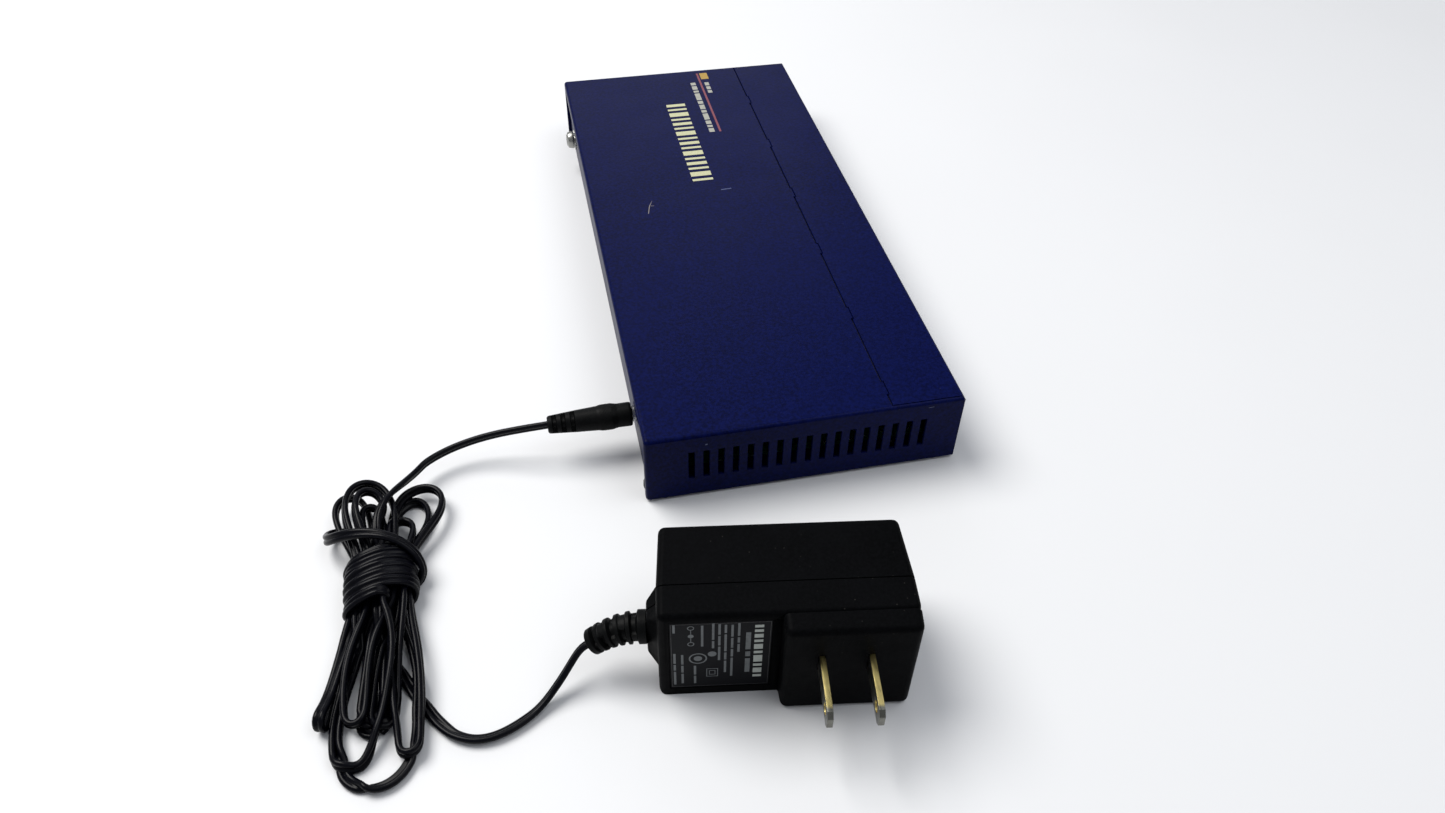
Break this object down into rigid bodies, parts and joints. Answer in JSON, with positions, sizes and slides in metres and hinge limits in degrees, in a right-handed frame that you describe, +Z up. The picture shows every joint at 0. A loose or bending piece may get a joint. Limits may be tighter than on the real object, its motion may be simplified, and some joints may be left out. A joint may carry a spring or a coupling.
{
  "type": "desktop network switch",
  "caption": "Flat sheet-metal network switch with a row of sockets in front, vented end walls, a rear power socket, and its lead wound into a hank with a two-blade wall adapter.",
  "frame": {"origin": "on the table under the middle of the switch, without its power lead", "axes": "+X towards the port panel, +Y along the case away from the power socket, +Z up"},
  "size_m": [0.202, 0.3345, 0.0355],
  "materials": {
    "blue_paint": "satin navy powder coat",
    "foot_rubber": "matt",
    "zinc_steel": "bright zinc",
    "printed_film": "printed film",
    "insulation_film": "matt film",
    "circuit_board": "solder mask",
    "brass": "worn brass, nickel tips on the blades",
    "chip_black": "moulded epoxy",
    "sink_aluminium": "extruded",
    "bright_steel": "bright plated",
    "capacitor_sleeve": "shrink sleeve",
    "socket_plastic": "moulded",
    "contact_gold": "gold plated",
    "clear_plastic": "clear moulding",
    "grip_plastic": "soft moulded",
    "cord_sheath": "satin flexible sheath",
    "adapter_plastic": "fine textured"
  },
  "bodies": {
    "switch_case": {"base_chassis": "blue_paint", "top_cover": "blue_paint", "rubber_foot_1": "foot_rubber", "rubber_foot_2": "foot_rubber", "rubber_foot_3": "foot_rubber", "rubber_foot_4": "foot_rubber", "case_screw_1": "zinc_steel", "case_screw_2": "zinc_steel", "case_screw_3": "zinc_steel", "case_screw_4": "zinc_steel", "bottom_label": "printed_film", "front_overlay": "printed_film", "insulation_sheet": "insulation_film", "main_circuit_board": "circuit_board", "board_standoff_1": "brass", "board_standoff_2": "brass", "board_standoff_3": "brass", "board_standoff_4": "brass", "board_screw_1": "zinc_steel", "board_screw_2": "zinc_steel", "board_screw_3": "zinc_steel", "board_screw_4": "zinc_steel", "switch_chip": "chip_black", "heat_sink": "sink_aluminium", "port_magnetics_1": "chip_black", "port_magnetics_2": "chip_black", "clock_crystal": "bright_steel", "power_inductor": "chip_black", "voltage_regulator": "chip_black", "filter_capacitor_1": "capacitor_sleeve", "filter_capacitor_2": "capacitor_sleeve", "port_shield_1": "bright_steel", "port_shield_2": "bright_steel", "port_housing_1": "socket_plastic", "port_housing_2": "socket_plastic", "port_contacts_1": "contact_gold", "port_contacts_2": "contact_gold", "indicator_light_pipe": "clear_plastic", "power_socket_housing": "socket_plastic", "power_socket_pin": "bright_steel", "power_socket_spring": "bright_steel", "ground_nut": "zinc_steel"},
    "ground_washer": {"ground_washer": "zinc_steel"},
    "ground_screw": {"ground_screw": "bright_steel"},
    "power_lead": {"plug_grip": "grip_plastic", "plug_sleeve": "bright_steel", "plug_insulator": "socket_plastic", "cord_plug_side": "cord_sheath", "cord_hank": "cord_sheath", "cord_adapter_side": "cord_sheath", "adapter_strain_relief": "grip_plastic", "adapter_rear_shell": "adapter_plastic", "adapter_front_shell": "adapter_plastic", "adapter_blade_1": "brass", "adapter_blade_2": "brass", "adapter_label": "printed_film", "adapter_circuit_board": "circuit_board", "adapter_transformer": "chip_black", "adapter_capacitor": "capacitor_sleeve"}
  },
  "joints": [
    {"name": "power_plug_slide", "type": "slide", "parent": "switch_case", "child": "power_lead", "axis": [-1, 0, 0], "range_m": [0, 0.012]},
    {"name": "ground_screw_travel", "type": "slide", "parent": "switch_case", "child": "ground_washer", "axis": [-1, 0, 0], "range_m": [0, 0.003]},
    {"name": "ground_screw_turn", "type": "hinge", "parent": "ground_washer", "child": "ground_screw", "pos_m": [-0.05, 0.087, 0.0143], "axis": [-1, 0, 0], "range_deg": [0, 2160]}
  ],
  "couplings": [
    {"joint": "ground_screw_turn", "follows": "ground_screw_travel", "rad_per_m": 12566}
  ]
}
